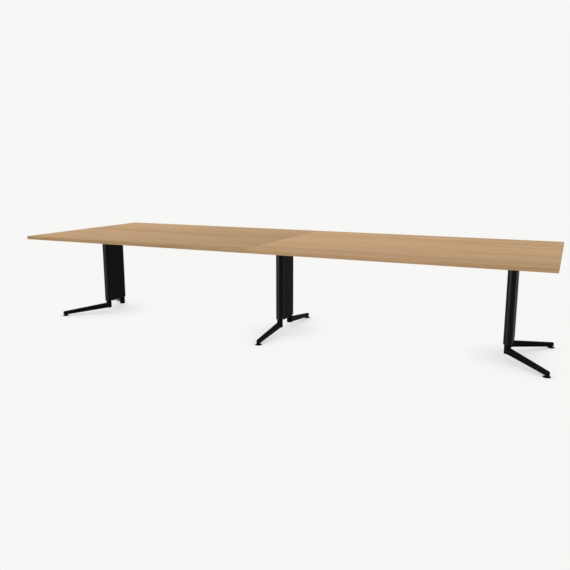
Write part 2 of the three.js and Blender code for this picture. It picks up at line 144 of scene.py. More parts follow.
# %% Hang the lamps
OVERHEAD_TOWARDS = (-0.25, -0.50, 0.83)
OVERHEAD_STRENGTH = 2.62
OVERHEAD_SPREAD = math.radians(60)
SOFT_BOX_PLACE = Vector((-2.9, -6.4, 0.37))
SOFT_BOX_AIM = Vector((2.1, -5.4, 0.37))
SOFT_BOX_SIZE = (4.0, 0.66)
SOFT_BOX_POWER = 1800


def add_lamp(name, kind, towards, **settings):
    light = bpy.data.lights.new(name, kind)
    for key, value in settings.items():
        setattr(light, key, value)
    lamp = placed(light, name)
    lamp.rotation_euler = Vector(towards).to_track_quat("Z", "Y").to_euler()
    return lamp


add_lamp("overhead", "SUN", OVERHEAD_TOWARDS, energy=OVERHEAD_STRENGTH, angle=OVERHEAD_SPREAD)
soft_box_back = SOFT_BOX_PLACE - SOFT_BOX_AIM
soft_box = add_lamp("soft_box", "AREA", soft_box_back, energy=SOFT_BOX_POWER, shape="RECTANGLE")
soft_box.location = SOFT_BOX_PLACE
soft_box.data.size, soft_box.data.size_y = SOFT_BOX_SIZE
soft_box.visible_camera = False
soft_box.visible_diffuse = False
print(f"an overhead lamp of strength {OVERHEAD_STRENGTH} and a soft box of {SOFT_BOX_SIZE} m")

# %% [markdown]
# ## The floor
# Under the table lies a sweep of pale paper. Paper that is only lit would go grey under a top of this
# size. So what the eye and mirrors see of it is its own colour, which Ambient Occlusion shades close to
# what stands on it, while for all other light it is an ordinary pale floor.

# %% Lay the paper floor
FLOOR_HALF = 60.0
FLOOR_BOUNCE = (0.60, 0.60, 0.60, 1)
SHADE_REACH = 0.33
SHADE_DEPTH = 0.62
SHADE_SAMPLES = 16

paper_material = bpy.data.materials.new("paper")
tree = bare_tree(paper_material)
nearness = add(tree, "ShaderNodeAmbientOcclusion", {"Distance": SHADE_REACH}, samples=SHADE_SAMPLES)
open_share = between(tree, nearness.outputs["AO"], (0.0, 1.0), (1 - SHADE_DEPTH, 1.0))
shown = add(tree, "ShaderNodeEmission", {"Color": PAPER, "Strength": open_share})
lit = add(tree, "ShaderNodeBsdfDiffuse", {"Color": FLOOR_BOUNCE})
both = add(tree, "ShaderNodeMixShader", {0: is_seen(tree), 1: lit.outputs[0], 2: shown.outputs[0]})
add(tree, "ShaderNodeOutputMaterial", {"Surface": both.outputs[0]})

floor_mesh = bpy.data.meshes.new("floor")
corners = [(x * FLOOR_HALF, y * FLOOR_HALF, 0) for x, y in ((-1, -1), (1, -1), (1, 1), (-1, 1))]
floor_mesh.from_pydata(corners, [], [(0, 1, 2, 3)])
floor_mesh.materials.append(paper_material)
floor = placed(floor_mesh, "floor")
print(f"floor {2 * FLOOR_HALF} m across, shaded within {SHADE_REACH} m of what stands on it")

# %% [markdown]
# ## Patterns
# No surface of the table is one flat colour. Every finish is made of noise: stretched along the grain it
# looks like wood, and left even it looks like the clouds and the skin of a coat. Pictures of the surfaces
# could be laid on instead, but noise has no seams and stays sharp from close by.

# %% Helpers for patterns
MIX_SOCKETS = {"RGBA": (6, 7, 2), "VECTOR": (4, 5, 1)}


def stretched_noise(tree, place, stretch, detail, distortion=0.0):
    mapped = add(tree, "ShaderNodeMapping", {"Vector": place, "Scale": stretch})
    inputs = {"Vector": mapped.outputs[0], "Scale": 1.0, "Detail": detail, "Distortion": distortion}
    return add(tree, "ShaderNodeTexNoise", inputs).outputs[0]


def blended(tree, share, first, second, kind="RGBA", **settings):
    """A Mix node has sockets for every kind of value, so those of this kind are found by number."""
    first_socket, second_socket, result = MIX_SOCKETS[kind]
    inputs = {0: share, first_socket: first, second_socket: second}
    return add(tree, "ShaderNodeMix", inputs, data_type=kind, **settings).outputs[result]


def add_surface(tree, inputs):
    shader = add(tree, "ShaderNodeBsdfPrincipled", inputs)
    add(tree, "ShaderNodeOutputMaterial", {"Surface": shader.outputs[0]})


print("pattern helpers ready")

# %% [markdown]
# ## Leaves of veneer
# The tops are faced with oak veneer, which is sliced into leaves. They are laid side by side with the
# grain along the table, so each has its own place in the log. The leaf number comes from Y, and a random
# value for it shifts the figure. The narrow edging uses the same recipe, but its grain follows the strip,
# so on the short sides X and Y change places.

# %% Lay out the leaves
LEAF_WIDTH = 0.155
LEAF_SHIFT = 9.0


def leaf_value(tree, across, seed):
    leaf = calculate(tree, "FLOOR", calculate(tree, "DIVIDE", across, LEAF_WIDTH))
    inputs = {"W": calculate(tree, "ADD", leaf, seed)}
    return add(tree, "ShaderNodeTexWhiteNoise", inputs, noise_dimensions="1D").outputs["Value"]


def shifted(tree, place, draw):
    along = calculate(tree, "MULTIPLY", draw, LEAF_SHIFT)
    shift = add(tree, "ShaderNodeCombineXYZ", {0: along, 2: draw})
    return add(tree, "ShaderNodeVectorMath", {0: place, 1: shift.outputs[0]}).outputs[0]


def along_strip(tree, position):
    facing = add(tree, "ShaderNodeNewGeometry").outputs["Normal"]
    normal = add(tree, "ShaderNodeSeparateXYZ", {0: facing})
    across = [calculate(tree, "ABSOLUTE", normal.outputs[axis]) for axis in (0, 1)]
    on_short_side = calculate(tree, "GREATER_THAN", *across)
    x, y, z = position.outputs
    straight = add(tree, "ShaderNodeCombineXYZ", {0: x, 1: y, 2: z}).outputs[0]
    turned_over = add(tree, "ShaderNodeCombineXYZ", {0: y, 1: x, 2: z}).outputs[0]
    return blended(tree, on_short_side, straight, turned_over, kind="VECTOR")


print(f"leaves {1000 * LEAF_WIDTH:.0f} mm wide")

# %% [markdown]
# ## Oak
# The figure of oak is noise drawn out along the grain at four scales: broad streaks, bands, fine lines
# and open pores. The first three decide how pale the wood is. The pores are brown, and with the lines
# they dent the surface a little. The tone also drifts along a top. Over the leaves of a top, from front
# to rear, the colour also carries painted light: it is painted darker at the front and lighter at the
# rear.

# %% Colour the oak
OAK_PALE = (0.535, 0.336, 0.172, 1)
OAK_DARK = (0.322, 0.192, 0.090, 1)
PORE_BROWN = (0.230, 0.125, 0.060, 1)
FIGURE_SHARES = {"streak": 0.32, "band": 0.30, "line": 0.28}
LEAF_SHARE = 0.10
FIGURE_LIMITS = (0.34, 0.62)
PORE_SHARE = 0.45


def oak_colour(tree, noise, pore, draw, tone_and_light):
    figure = calculate(tree, "MULTIPLY", draw, LEAF_SHARE)
    for name, share in FIGURE_SHARES.items():
        figure = calculate(tree, "MULTIPLY_ADD", noise[name], share, figure)
    wood = blended(tree, between(tree, figure, FIGURE_LIMITS), OAK_DARK, OAK_PALE)
    wood = blended(tree, calculate(tree, "MULTIPLY", pore, PORE_SHARE), wood, PORE_BROWN)
    # multiplies in the tone of the wood, and on the tops the painted light from front to rear
    return blended(tree, 1.0, wood, tone_and_light, blend_type="MULTIPLY")


print(f"oak from {OAK_DARK[:3]} to {OAK_PALE[:3]}")

# %% Write the recipe for oak
OAK_NOISE = {
    "streak": {"stretch": (1.3, 19.0, 19.0), "detail": 5.0, "distortion": 0.4},
    "band": {"stretch": (1.6, 64.0, 64.0), "detail": 3.0},
    "line": {"stretch": (3.0, 260.0, 260.0), "detail": 2.0},
    "pore": {"stretch": (26.0, 1300.0, 1300.0), "detail": 1.0},
}
PORE_LIMITS = (0.60, 0.70)
LINE_LIMITS = (0.2, 0.8)
LINE_DENT = 0.4
GRAIN_STRENGTH = 0.25
GRAIN_DEPTH = 0.0002
OAK_ROUGHNESS = (0.58, 0.70)
# painted light: the veneer's colour from front to rear, painted darker at the front and lighter at the
# rear
FRONT_REAR_PAINTED_LIGHT = (0.965, 1.10)


def span(node, axis):
    low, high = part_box(node)
    return low[axis], high[axis]


def oak(name, board, tones, seed, gloss, is_strip=False):
    material = bpy.data.materials.new(name)
    tree = bare_tree(material)
    place = add(tree, "ShaderNodeTexCoord").outputs["Object"]
    position = add(tree, "ShaderNodeSeparateXYZ", {0: place})
    tone_and_light = between(tree, position.outputs[0], span(board, 0), tones)
    if is_strip:
        place = along_strip(tree, position)
    else:
        # painted light: each top is painted darker at the front and lighter at the rear
        front_rear_light = between(tree, position.outputs[1], span(board, 1), FRONT_REAR_PAINTED_LIGHT)
        tone_and_light = calculate(tree, "MULTIPLY", tone_and_light, front_rear_light)
    draw = leaf_value(tree, position.outputs[1], seed)
    grain = shifted(tree, place, draw)
    noise = {scale: stretched_noise(tree, grain, **sizes) for scale, sizes in OAK_NOISE.items()}
    pore = between(tree, noise["pore"], PORE_LIMITS)
    dent = calculate(tree, "SUBTRACT", calculate(tree, "MULTIPLY", noise["line"], LINE_DENT), pore)
    inputs = {"Strength": GRAIN_STRENGTH, "Distance": GRAIN_DEPTH, "Height": dent}
    bump = add(tree, "ShaderNodeBump", inputs)
    inputs = {
        "Base Color": oak_colour(tree, noise, pore, draw, tone_and_light),
        "Roughness": between(tree, noise["line"], LINE_LIMITS, OAK_ROUGHNESS),
        "Normal": bump.outputs[0],
        "Specular IOR Level": gloss,
    }
    add_surface(tree, inputs)
    return material


print(f"oak of {len(OAK_NOISE)} scales")

# %% [markdown]
# ## The oak of each top
# The two tops are cut from different logs, so they differ in seed and in tone, and the seam between them
# shows. One oak could serve for the edging too, but it is a strip of its own, a little darker and duller
# than the face.

# %% Choose the oak of each top
SIDES = ("left", "right")
VENEER_GLOSS = 0.12
VENEER_CUTS = {
    "left": {"tones": (1.04, 0.835), "seed": 3.5},
    "right": {"tones": (1.07, 0.955), "seed": 41.5},
}
EDGING_GLOSS = 0.03
EDGING_CUTS = {
    "left": {"tones": (0.96, 0.89), "seed": 77.5},
    "right": {"tones": (0.98, 0.97), "seed": 91.5},
}

veneer = {}
edging = {}
for side in SIDES:
    board = f"top_{side}_board"
    veneer[side] = oak(f"oak_veneer_{side}", board, gloss=VENEER_GLOSS, **VENEER_CUTS[side])
    edging[side] = oak(f"oak_edging_{side}", board, gloss=EDGING_GLOSS, is_strip=True, **EDGING_CUTS[side])
print("oak for", ", ".join(veneer), "and the edging")

# %% [markdown]
# ## Coat, zinc and plastic
# Steel and castings are powder coated, bolts and stems are zinc plated, and glides are moulded plastic.
# One flat colour would do from afar, but all of these have faint clouds of tone and gloss, and a fine skin
# like an orange's, so one recipe serves them all. A coat is thinner on edges, where it wears to a paler
# grey. The faces of rounded edges carry an attribute, and the wear reads it.

# %% Write the recipe for fine finishes
WEAR = "wear"
CLOUD_DETAIL = 4.0
CLOUD_LIMITS = (0.3, 0.7)
WORN_LIMITS = (0.45, 0.75)
SKIN_DETAIL = 2.0
SKIN_STRENGTH = 0.12


def fine_finish(name, dark, pale, cloud_scale, skin_scale, skin_depth, roughness, constants, worn=None):
    material = bpy.data.materials.new(name)
    tree = bare_tree(material)
    place = add(tree, "ShaderNodeTexCoord").outputs["Object"]
    cloud = stretched_noise(tree, place, (cloud_scale,) * 3, CLOUD_DETAIL)
    colour = blended(tree, between(tree, cloud, CLOUD_LIMITS), dark, pale)
    if worn:
        on_edge = add(tree, "ShaderNodeAttribute", attribute_name=WEAR).outputs["Fac"]
        patchy = between(tree, cloud, WORN_LIMITS)
        colour = blended(tree, calculate(tree, "MULTIPLY", on_edge, patchy), colour, worn)
    peel = stretched_noise(tree, place, (skin_scale,) * 3, SKIN_DETAIL)
    inputs = {"Strength": SKIN_STRENGTH, "Distance": skin_depth, "Height": peel}
    bump = add(tree, "ShaderNodeBump", inputs)
    inputs = {
        "Base Color": colour,
        "Roughness": between(tree, cloud, CLOUD_LIMITS, roughness),
        "Normal": bump.outputs[0],
        **constants,
    }
    add_surface(tree, inputs)
    return material


print("recipe for fine finishes ready")

# %% [markdown]
# ## The black coats
# The same black coat lies differently on each kind of piece: on flat sheet it is the most matt and wears
# at the edges, on the drawn tubes it is smoother and catches a line of light, and on the castings it
# follows the rougher skin of the metal. Its base colour also differs from piece to piece, as painted
# light: it is palest on the sheet, as painted fill light from the right, less pale on the tubes, where
# it lifts their shaded side, and darkest on the castings.

# %% Mix the black coats
coat = fine_finish(
    "black_powder_coat",
    # painted fill light: this base is paler than the tube and cast coats, as if lit from the right
    dark=(0.0178, 0.0180, 0.0188, 1),
    pale=(0.0196, 0.0198, 0.0206, 1),
    worn=(0.028, 0.028, 0.029, 1),
    cloud_scale=24.0,
    skin_scale=1500.0,
    skin_depth=0.00006,
    roughness=(0.52, 0.54),
    constants={"Specular IOR Level": 0.015},
)
tube_coat = fine_finish(
    "black_tube_coat",
    # painted fill light: this base is paler than the cast coat, lifting the shaded side of the tubes
    dark=(0.0090, 0.0092, 0.0096, 1),
    pale=(0.0100, 0.0102, 0.0106, 1),
    cloud_scale=24.0,
    skin_scale=1500.0,
    skin_depth=0.00004,
    roughness=(0.44, 0.46),
    constants={"Specular IOR Level": 0.045},
)
cast_coat = fine_finish(
    "black_cast_coat",
    dark=(0.0060, 0.0061, 0.0064, 1),
    pale=(0.0072, 0.0073, 0.0076, 1),
    cloud_scale=30.0,
    skin_scale=1100.0,
    skin_depth=0.00009,
    roughness=(0.50, 0.53),
    constants={"Specular IOR Level": 0.02},
)
print("coats:", coat.name, tube_coat.name, cast_coat.name)

# %% [markdown]
# ## Zinc and plastic
# Zinc plate is a bare metal, so it is metallic and its clouds are small crystals. The plastic of the
# glides is a dull black that only its grain keeps from looking flat.

# %% Mix the zinc and the plastic
zinc = fine_finish(
    "zinc_plate",
    dark=(0.42, 0.43, 0.45, 1),
    pale=(0.66, 0.67, 0.68, 1),
    cloud_scale=180.0,
    skin_scale=2500.0,
    skin_depth=0.00003,
    roughness=(0.28, 0.42),
    constants={"Metallic": 1.0},
)
plastic = fine_finish(
    "glide_plastic",
    dark=(0.0030, 0.0030, 0.0030, 1),
    pale=(0.0045, 0.0045, 0.0045, 1),
    cloud_scale=60.0,
    skin_scale=2200.0,
    skin_depth=0.00004,
    roughness=(0.58, 0.66),
    constants={"Specular IOR Level": 0.025},
)
print("other finishes:", zinc.name, plastic.name)

# %% [markdown]
# ## From points to pieces
# Most pieces here are a skin over rings of points. When the rings are stacked, the skin is closed by a
# face at each end. When they form a loop, as round an edge strip, the last ring joins the first. Sharp
# edges are found by angle, and weighted normals keep large flat faces flat beside small round ones. A
# finished piece rides on the body that carries it and stands for its solid.


# %% Helpers for meshes
def skin(rings, is_loop=False):
    shape = bmesh.new()
    rows = [[shape.verts.new(point) for point in ring] for ring in rings]
    following = rows[1:] + rows[:1] if is_loop else rows[1:]
    for low, high in zip(rows, following):
        for index, corner in enumerate(low):
            beside = (index + 1) % len(low)
            shape.faces.new((corner, low[beside], high[beside], high[index]))
    if not is_loop:
        shape.faces.new(rows[0][::-1])
        shape.faces.new(rows[-1])
    bmesh.ops.recalc_face_normals(shape, faces=shape.faces)
    return shape


def to_mesh(shape, name):
    mesh = bpy.data.meshes.new(name)
    shape.to_mesh(mesh)
    shape.free()
    return mesh


print("mesh helpers ready")

# %% Helpers for finished pieces
SHARP_ANGLE = math.radians(35)


def plain_mesh(item):
    graph = bpy.context.evaluated_depsgraph_get()
    mesh = bpy.data.meshes.new_from_object(item.evaluated_get(graph))
    bpy.data.objects.remove(item)
    return mesh


def make_piece(mesh, name, material, body, slot, *nodes):
    mesh.shade_smooth()
    mesh.set_sharp_from_angle(angle=SHARP_ANGLE)
    mesh.materials.clear()
    mesh.materials.append(material)
    item = placed(mesh, name)
    item.modifiers.new("flat_faces", "WEIGHTED_NORMAL").keep_sharp = True
    piece = placed(plain_mesh(item), name)
    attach(piece, body)
    if nodes:
        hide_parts(*nodes)
    return piece


print(f"edges are sharp from {math.degrees(SHARP_ANGLE):.0f} degrees")

# %% [markdown]
# ## Tops
# Each top is a board with a thin edging all round. On the real one the sharp arris is broken by hand
# with abrasive paper, which catches a line of light. A Bevel modifier could do that too, but board and
# edging are rings of rounded rectangles anyway, so an eased edge is just a few more rings. The board is a
# stack of them, drawn in by a hair at its faces, where the glue line shows. The edging is a loop of them,
# each as much larger than the board as it lies away from it.

# %% Outline the boards and their edging
CORNER_RADIUS = 0.0006
CORNER_STEPS = 4
EASED_EDGE = 0.0009
EASED_STEPS = 4


def rectangle(low, high, grow, height):
    radius = CORNER_RADIUS + grow
    points = []
    for corner in range(4):
        x = high[0] - CORNER_RADIUS if corner in (0, 3) else low[0] + CORNER_RADIUS
        y = high[1] - CORNER_RADIUS if corner in (0, 1) else low[1] + CORNER_RADIUS
        for step in range(CORNER_STEPS + 1):
            angle = (corner + step / CORNER_STEPS) * math.pi / 2
            points.append((x + radius * math.cos(angle), y + radius * math.sin(angle), height))
    return points


def eased_arc(step, quarter):
    angle = (quarter + step / EASED_STEPS) * math.pi / 2
    return math.cos(angle) * EASED_EDGE, math.sin(angle) * EASED_EDGE


def edging_profile(thickness, bottom, top):
    profile = [(0, top), (0, bottom)]
    for centre, quarter in ((bottom + EASED_EDGE, 3), (top - EASED_EDGE, 0)):
        for step in range(EASED_STEPS + 1):
            out, up = eased_arc(step, quarter)
            profile.append((thickness - EASED_EDGE + out, centre + up))
    return profile


print(f"edges eased by {1000 * EASED_EDGE:.1f} mm")

# %% Make the boards and their edging
GLUE_LINE = 0.00015

for side in SIDES:
    board_node, band_node = f"top_{side}_board", f"top_{side}_edge_band"
    low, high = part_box(board_node)
    levels = [
        (-GLUE_LINE, low[2]),
        (0, low[2] + GLUE_LINE),
        (0, high[2] - GLUE_LINE),
        (-GLUE_LINE, high[2]),
    ]
    board = skin([rectangle(low, high, grow, height) for grow, height in levels])
    make_piece(to_mesh(board, board_node), f"{side}_top", veneer[side], "frame", "oak_veneer", board_node)
    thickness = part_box(band_node)[1][1] - high[1]
    profile = edging_profile(thickness, low[2], high[2])
    band = skin([rectangle(low, high, grow, height) for grow, height in profile], is_loop=True)
    make_piece(to_mesh(band, band_node), f"{side}_edging", edging[side], "frame", "oak_edge", band_node)
print(f"two tops with {1000 * thickness:.1f} mm edging")

# %% [markdown]
# ## Growing pieces on points
# Pieces that repeat or follow a rule are grown by Geometry Nodes. A tree is a recipe with named sizes: it
# makes one shape and sets a copy of it on every point that it is given. Such copies are instances, which
# only Blender can read, so each tree ends by making them real and giving them their finish. The result
# is then kept as a plain mesh, without the tree.

# %% Helpers for Geometry Nodes
COUNT = "NodeSocketInt"
LENGTH = "NodeSocketFloat"
FINISH = "NodeSocketMaterial"


def start_tree(name, sizes):
    tree = bpy.data.node_groups.new(name, "GeometryNodeTree")
    tree.interface.new_socket("Geometry", in_out="INPUT", socket_type="NodeSocketGeometry")
    keys = {}
    for size, kind in sizes.items():
        keys[size] = tree.interface.new_socket(size, in_out="INPUT", socket_type=kind).identifier
    tree.interface.new_socket("Geometry", in_out="OUTPUT", socket_type="NodeSocketGeometry")
    return tree, keys


def end_tree(tree, size, shape, **turning):
    inputs = {"Points": size["Geometry"], "Instance": shape, **turning}
    copies = add(tree, "GeometryNodeInstanceOnPoints", inputs)
    real = add(tree, "GeometryNodeRealizeInstances", {"Geometry": copies.outputs[0]})
    inputs = {"Geometry": real.outputs[0], "Material": size["Finish"]}
    finished = add(tree, "GeometryNodeSetMaterial", inputs)
    add(tree, "NodeGroupOutput", {0: finished.outputs[0]})


def grown(points, recipe, sizes):
    tree, keys = recipe
    item = placed(points, points.name)
    growth = item.modifiers.new("growth", "NODES")
    growth.node_group = tree
    for key, value in sizes.items():
        growth[keys[key]] = value
    return plain_mesh(item)


print("helpers for Geometry Nodes ready")

# %% [markdown]
# ## Column tubes
# The nose of each column is a round steel tube. The solid has flat facets, so the tube is drawn again
# with enough sides to look round, and with the small chamfer that a saw cut gets before coating. A tube
# could be turned from rings of points, but it is also a plain rule: the section of its wall, a tall thin
# rectangle with its corners cut off, swept round a circle. Curve to Mesh does just that.

# %% Write the recipe for a tube
TUBE_SIZES = {
    "Sides": COUNT,
    "Outer Radius": LENGTH,
    "Wall": LENGTH,
    "Length": LENGTH,
    "Chamfer": LENGTH,
    "Finish": FINISH,
}


def tube_recipe():
    tree, keys = start_tree("column_tube", TUBE_SIZES)
    size = add(tree, "NodeGroupInput").outputs
    half_wall = calculate(tree, "MULTIPLY", size["Wall"], 0.5)
    radius = calculate(tree, "SUBTRACT", size["Outer Radius"], half_wall)
    path = add(tree, "GeometryNodeCurvePrimitiveCircle", {"Resolution": size["Sides"], "Radius": radius})
    level = add(tree, "GeometryNodeSetCurveNormal", {"Curve": path.outputs[0]}, mode="Z_UP")
    inputs = {"Width": size["Wall"], "Height": size["Length"]}
    section = add(tree, "GeometryNodeCurvePrimitiveQuadrilateral", inputs)
    inputs = {"Curve": section.outputs[0], "Radius": size["Chamfer"]}
    section = add(tree, "GeometryNodeFilletCurve", inputs, mode="POLY")
    inputs = {"Curve": level.outputs[0], "Profile Curve": section.outputs[0]}
    swept = add(tree, "GeometryNodeCurveToMesh", inputs)
    end_tree(tree, size, swept.outputs[0])
    return tree, keys


column_tube = tube_recipe()
print(f"a tree of {len(column_tube[0].nodes)} nodes with {len(TUBE_SIZES)} sizes")

# %% Draw the tubes
TUBE_WALL = 0.0025
TUBE_CHAMFER = 0.0006
TUBE_FACETS = 96
PEDESTALS = ("left", "middle", "right")
PLACES = ("front", "rear")
LEGS = [f"{pedestal}_{place}" for pedestal in PEDESTALS for place in PLACES]


def middle(node):
    low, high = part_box(node)
    return (Vector(low) + Vector(high)) / 2


def tube_mesh(node):
    low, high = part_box(node)
    points = bpy.data.meshes.new(node)
    points.from_pydata([middle(node)], [], [])
    sizes = {
        "Sides": TUBE_FACETS,
        "Outer Radius": (high[1] - low[1]) / 2,
        "Wall": TUBE_WALL,
        "Length": high[2] - low[2],
        "Chamfer": TUBE_CHAMFER,
        "Finish": tube_coat,
    }
    return grown(points, column_tube, sizes)


for leg in LEGS:
    node = f"{leg}_tube"
    make_piece(tube_mesh(node), f"{leg}_column_tube", tube_coat, "frame", "black_coat", node)
print(f"{len(LEGS)} tubes of {TUBE_FACETS} sides")

# %% [markdown]
# ## Sheet metal
# Covers, spreaders, head channels and rails are cut and folded steel. Their solids are right, apart from
# the edges, which on coated sheet are never knife sharp. A copy of each solid is merged, because its
# triangles are loose, its flat triangles are joined into whole faces, and then every sharp edge is
# rounded. A Bevel modifier would round them too, but this way the new faces come back as a list, and
# can be marked for the wear of the coat.

# %% Helpers for rounded edges
MERGE_DISTANCE = 1e-6
FLAT_ANGLE = math.radians(1)
ROUND_ANGLE = math.radians(30)
ROUND_STEPS = 3
ROUND_PROFILE = 0.5


def merged(node):
    shape = bmesh.new()
    shape.from_mesh(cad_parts[node].data)
    bmesh.ops.remove_doubles(shape, verts=shape.verts, dist=MERGE_DISTANCE)
    bmesh.ops.dissolve_limit(shape, angle_limit=FLAT_ANGLE, verts=shape.verts, edges=shape.edges)
    return shape


def rounded(node, radius):
    shape = merged(node)
    wear = shape.faces.layers.float.new(WEAR)
    edges = [edge for edge in shape.edges if edge.calc_face_angle(0) > ROUND_ANGLE]
    made = bmesh.ops.bevel(
        shape,
        geom=edges,
        offset=radius,
        segments=ROUND_STEPS,
        profile=ROUND_PROFILE,
        affect="EDGES",
        clamp_overlap=True,
    )
    for face in made["faces"]:
        face[wear] = 1.0
    return to_mesh(shape, node)


print(f"edges over {math.degrees(ROUND_ANGLE):.0f} degrees get {ROUND_STEPS} steps")

# %% Round the edges of the sheet metal
SHEET_EDGES = {
    "cover_left": 0.0006,
    "cover_right": 0.0006,
    "head_channel": 0.0005,
    "lower_spreader": 0.0006,
    "upper_spreader": 0.0006,
}
RAIL_EDGE = 0.0012
RAILS = [f"rail_{side}_{place}" for side in SIDES for place in PLACES]

for pedestal in PEDESTALS:
    for part, radius in SHEET_EDGES.items():
        node = f"{pedestal}_{part}"
        make_piece(rounded(node, radius), f"{node}_sheet", coat, "frame", "black_coat", node)
for node in RAILS:
    make_piece(rounded(node, RAIL_EDGE), f"{node}_beam", coat, "frame", "black_coat", node)
print(f"{len(PEDESTALS) * len(SHEET_EDGES)} sheet pieces and {len(RAILS)} rails rounded")

# %% [markdown]
# ## Cast feet
# A die-cast foot is a round hub with a long tapering arm. The arm is hollow underneath, with ribs across,
# so that its walls are evenly thick, and no corner is sharp, because metal has to flow round it. Filling
# the solid with a fine grid and smoothing it would round everything, but a slanting edge comes out wavy.
# So the arm is drawn as a stack of rings, and its pockets are a rule: seen from below, a point lies as
# deep as the shallower of two edge profiles allows, one across the arm and one along it.

# %% Draw the section of an arm
ARM_ROOT_HALF_WIDTH = 0.0159
ARM_TIP_HALF_WIDTH = 0.0126
ARM_TIP_HEIGHT = 0.0293
ARM_EDGE = 0.0065
ARM_EDGE_STEPS = 8
ARM_WALL = 0.0045
ARM_ROOF = 0.006
POCKET_RIM = 0.0009
POCKET_DRAFT = 0.0007
POCKET_FILLET = 0.0025
POCKET_STEPS = 4


def quarter_turns(steps):
    return [math.pi / 2 * step / steps for step in range(steps + 1)]


def pocket_edge(depth):
    """Pairs of a distance in from the rim and the height there, from the rim to the roof."""
    inside = POCKET_RIM + POCKET_DRAFT + POCKET_FILLET
    rim = []
    fillet = []
    for angle in quarter_turns(POCKET_STEPS):
        sine, cosine = math.sin(angle), math.cos(angle)
        rim.append((POCKET_RIM * sine, POCKET_RIM * (1 - cosine)))
        fillet.append((inside - POCKET_FILLET * cosine, depth - POCKET_FILLET * (1 - sine)))
    return rim + fillet


def arm_section(half_width, bottom, top, level):
    """Points across the arm, with its pocket cut up to the height of the level given."""
    corner = half_width - ARM_EDGE
    rim = half_width - ARM_WALL + POCKET_RIM
    edge = pocket_edge(top - ARM_ROOF - bottom)
    half = []
    for inward, height in reversed(edge):
        beyond = max(0, rim - inward - corner)
        rise = ARM_EDGE - math.sqrt(ARM_EDGE**2 - beyond**2)
        half.append((rim - inward, bottom + max(rise, min(height, edge[level][1]))))
    rim_angle = math.acos((rim - corner) / ARM_EDGE)
    for step in range(1, ARM_EDGE_STEPS + 1):
        angle = rim_angle * (1 - step / ARM_EDGE_STEPS)
        half.append((corner + ARM_EDGE * math.cos(angle), bottom + ARM_EDGE * (1 - math.sin(angle))))
    for angle in quarter_turns(ARM_EDGE_STEPS):
        half.append((corner + ARM_EDGE * math.cos(angle), top - ARM_EDGE * (1 - math.sin(angle))))
    return half + [(-across, height) for across, height in reversed(half)]


print(f"a section of {len(arm_section(ARM_ROOT_HALF_WIDTH, 0, ARM_TIP_HEIGHT, 0))} points")

# %% [markdown]
# ## The length of an arm
# From hub to tip the arm tapers and falls. At its root the rings bend round the hub and swell into a
# fillet, further out they dip into the pockets, and at the tip they shrink into a round nose. All six
# arms are alike, so one is drawn along X, to the measures of a foot that stands square to the table.

# %% Place the rings of an arm
PATTERN = "middle_front"
HUB_HEIGHT = 0.065
ARM_ROOT_DROP = 0.020
ARM_OVERHANG = 0.0072
ROOT_FLARE = 0.35
SEAT_RADIUS = 0.015

foot_low, foot_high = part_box(f"{PATTERN}_foot")
hub_radius = (foot_high[0] - foot_low[0]) / 2
hub_bottom = foot_high[2] - HUB_HEIGHT
reach = (middle(f"{PATTERN}_glide_pad") - middle(f"{PATTERN}_tube")).xy.length
nose = reach + ARM_OVERHANG
seat = reach - SEAT_RADIUS


def mix(start, end, share):
    return start + (end - start) * share


def arm_ring(at, level=0, swell=0.0, is_round=False):
    half_width = mix(ARM_ROOT_HALF_WIDTH, ARM_TIP_HALF_WIDTH, at / nose) + ROOT_FLARE * swell
    bottom = mix(hub_bottom, foot_low[2], min(1, at / seat))
    top = mix(foot_high[2] - ARM_ROOT_DROP, foot_low[2] + ARM_TIP_HEIGHT, at / nose) + swell
    ring = []
    for across, height in arm_section(half_width, bottom, top, level):
        back = hub_radius - math.sqrt(hub_radius**2 - across**2) if is_round else 0
        ring.append((at - back, across, height))
    return ring


def nose_ring(angle):
    bottom, top = foot_low[2], foot_low[2] + ARM_TIP_HEIGHT
    centre = (bottom + top) / 2
    shrink = 1 - 2 * ARM_EDGE * (1 - math.cos(angle)) / (top - bottom)
    x = nose + ARM_TIP_HALF_WIDTH * math.sin(angle)
    return [(x, y * math.cos(angle), centre + (z - centre) * shrink) for _, y, z in arm_ring(nose)]


print(f"an arm that reaches {reach:.3f} m to its glide")

# %% Stack the rings of an arm
ROOT_FILLET = 0.0035
ROOT_STEPS = 5
NOSE_STEPS = 10
NOSE_BLUNTNESS = 0.5
POCKETS = 3
POCKET_RIB = 0.005


def root_rings():
    rings = [arm_ring(0, swell=ROOT_FILLET)]
    for angle in quarter_turns(ROOT_STEPS):
        beyond = ROOT_FILLET * (1 - math.cos(angle))
        swell = ROOT_FILLET * (1 - math.sin(angle))
        rings.append(arm_ring(hub_radius + beyond, swell=swell, is_round=True))
    return rings


def pocket_rings(start, end):
    inward = [distance - POCKET_RIM for distance, _ in pocket_edge(ARM_TIP_HEIGHT)]
    levels = list(enumerate(inward))
    rings = [arm_ring(start + distance, level) for level, distance in levels]
    rings += [arm_ring(end - distance, level) for level, distance in reversed(levels)]
    return rings


def arm_rings():
    rings = root_rings()
    first = hub_radius + ARM_WALL
    pitch = (seat - ARM_WALL - first + POCKET_RIB) / POCKETS
    for index in range(POCKETS):
        start = first + index * pitch
        rings += pocket_rings(start, start + pitch - POCKET_RIB)
    rings += [arm_ring(seat), arm_ring(nose)]
    step_angle = math.pi / 2 / (NOSE_STEPS + NOSE_BLUNTNESS)
    rings += [nose_ring(step * step_angle) for step in range(1, NOSE_STEPS + 1)]
    return rings


arm = to_mesh(skin(arm_rings()), "arm")
print(f"an arm of {len(arm.polygons)} faces with {POCKETS} pockets")

